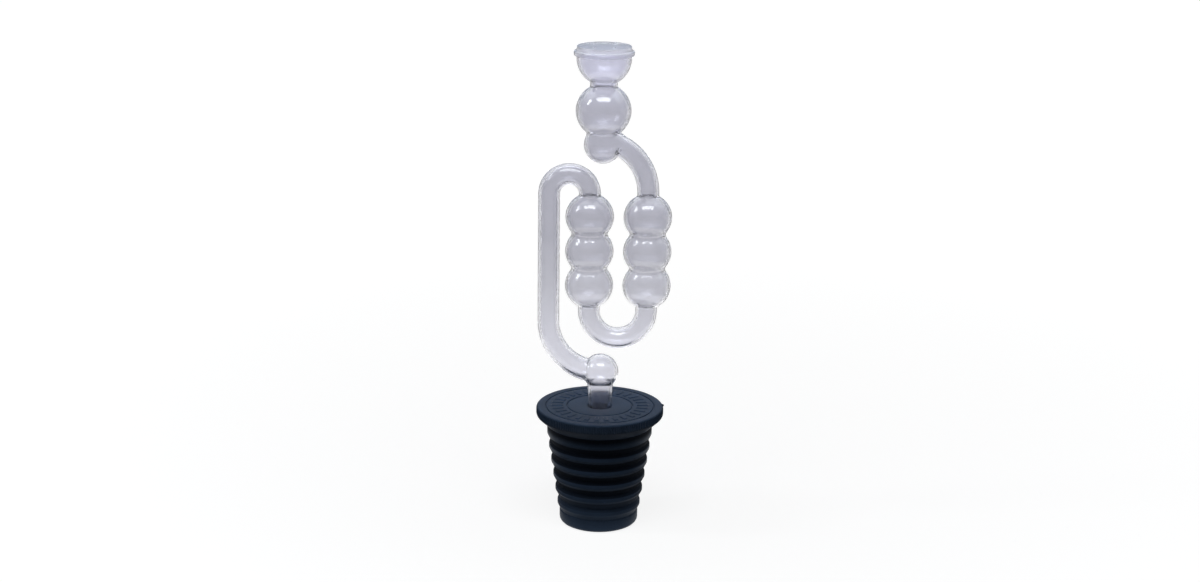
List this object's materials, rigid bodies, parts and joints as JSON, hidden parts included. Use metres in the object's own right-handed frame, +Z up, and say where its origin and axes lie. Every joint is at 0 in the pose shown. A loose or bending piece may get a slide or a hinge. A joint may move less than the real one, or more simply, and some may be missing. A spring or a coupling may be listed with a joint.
{
  "type": "fermentation airlock with bung",
  "caption": "Clear S-shaped bubble airlock with a push-on dust cap, standing in a tapered, ribbed black rubber bung that stops the neck of a carboy.",
  "frame": {"origin": "on the axis of the bung and stem, at the plane of the bung's foot", "axes": "+Z up along the stem; the airlock's tube lies in the plane y = 0, with the plain riser at -X and the filling cup above the stem; -Y is the side in the picture"},
  "size_m": [0.0517, 0.05, 0.1904],
  "materials": {
    "black_rubber": "matte moulded black rubber with a blue cast",
    "clear_plastic": "clear moulded plastic, faintly grey-violet, glossy",
    "clear_cap": "clear moulded plastic, slightly cloudier than the airlock"
  },
  "bodies": {
    "bung": {"bung": "black_rubber"},
    "airlock": {"airlock_front_half": "clear_plastic", "airlock_rear_half": "clear_plastic"},
    "dust_cap": {"dust_cap": "clear_cap"}
  },
  "joints": [
    {"name": "airlock_pull", "type": "slide", "parent": "bung", "child": "airlock", "axis": [0, 0, 1], "range_m": [0, 0.03]},
    {"name": "cap_lift", "type": "slide", "parent": "airlock", "child": "dust_cap", "axis": [0, 0, 1], "range_m": [0, 0.01]}
  ]
}
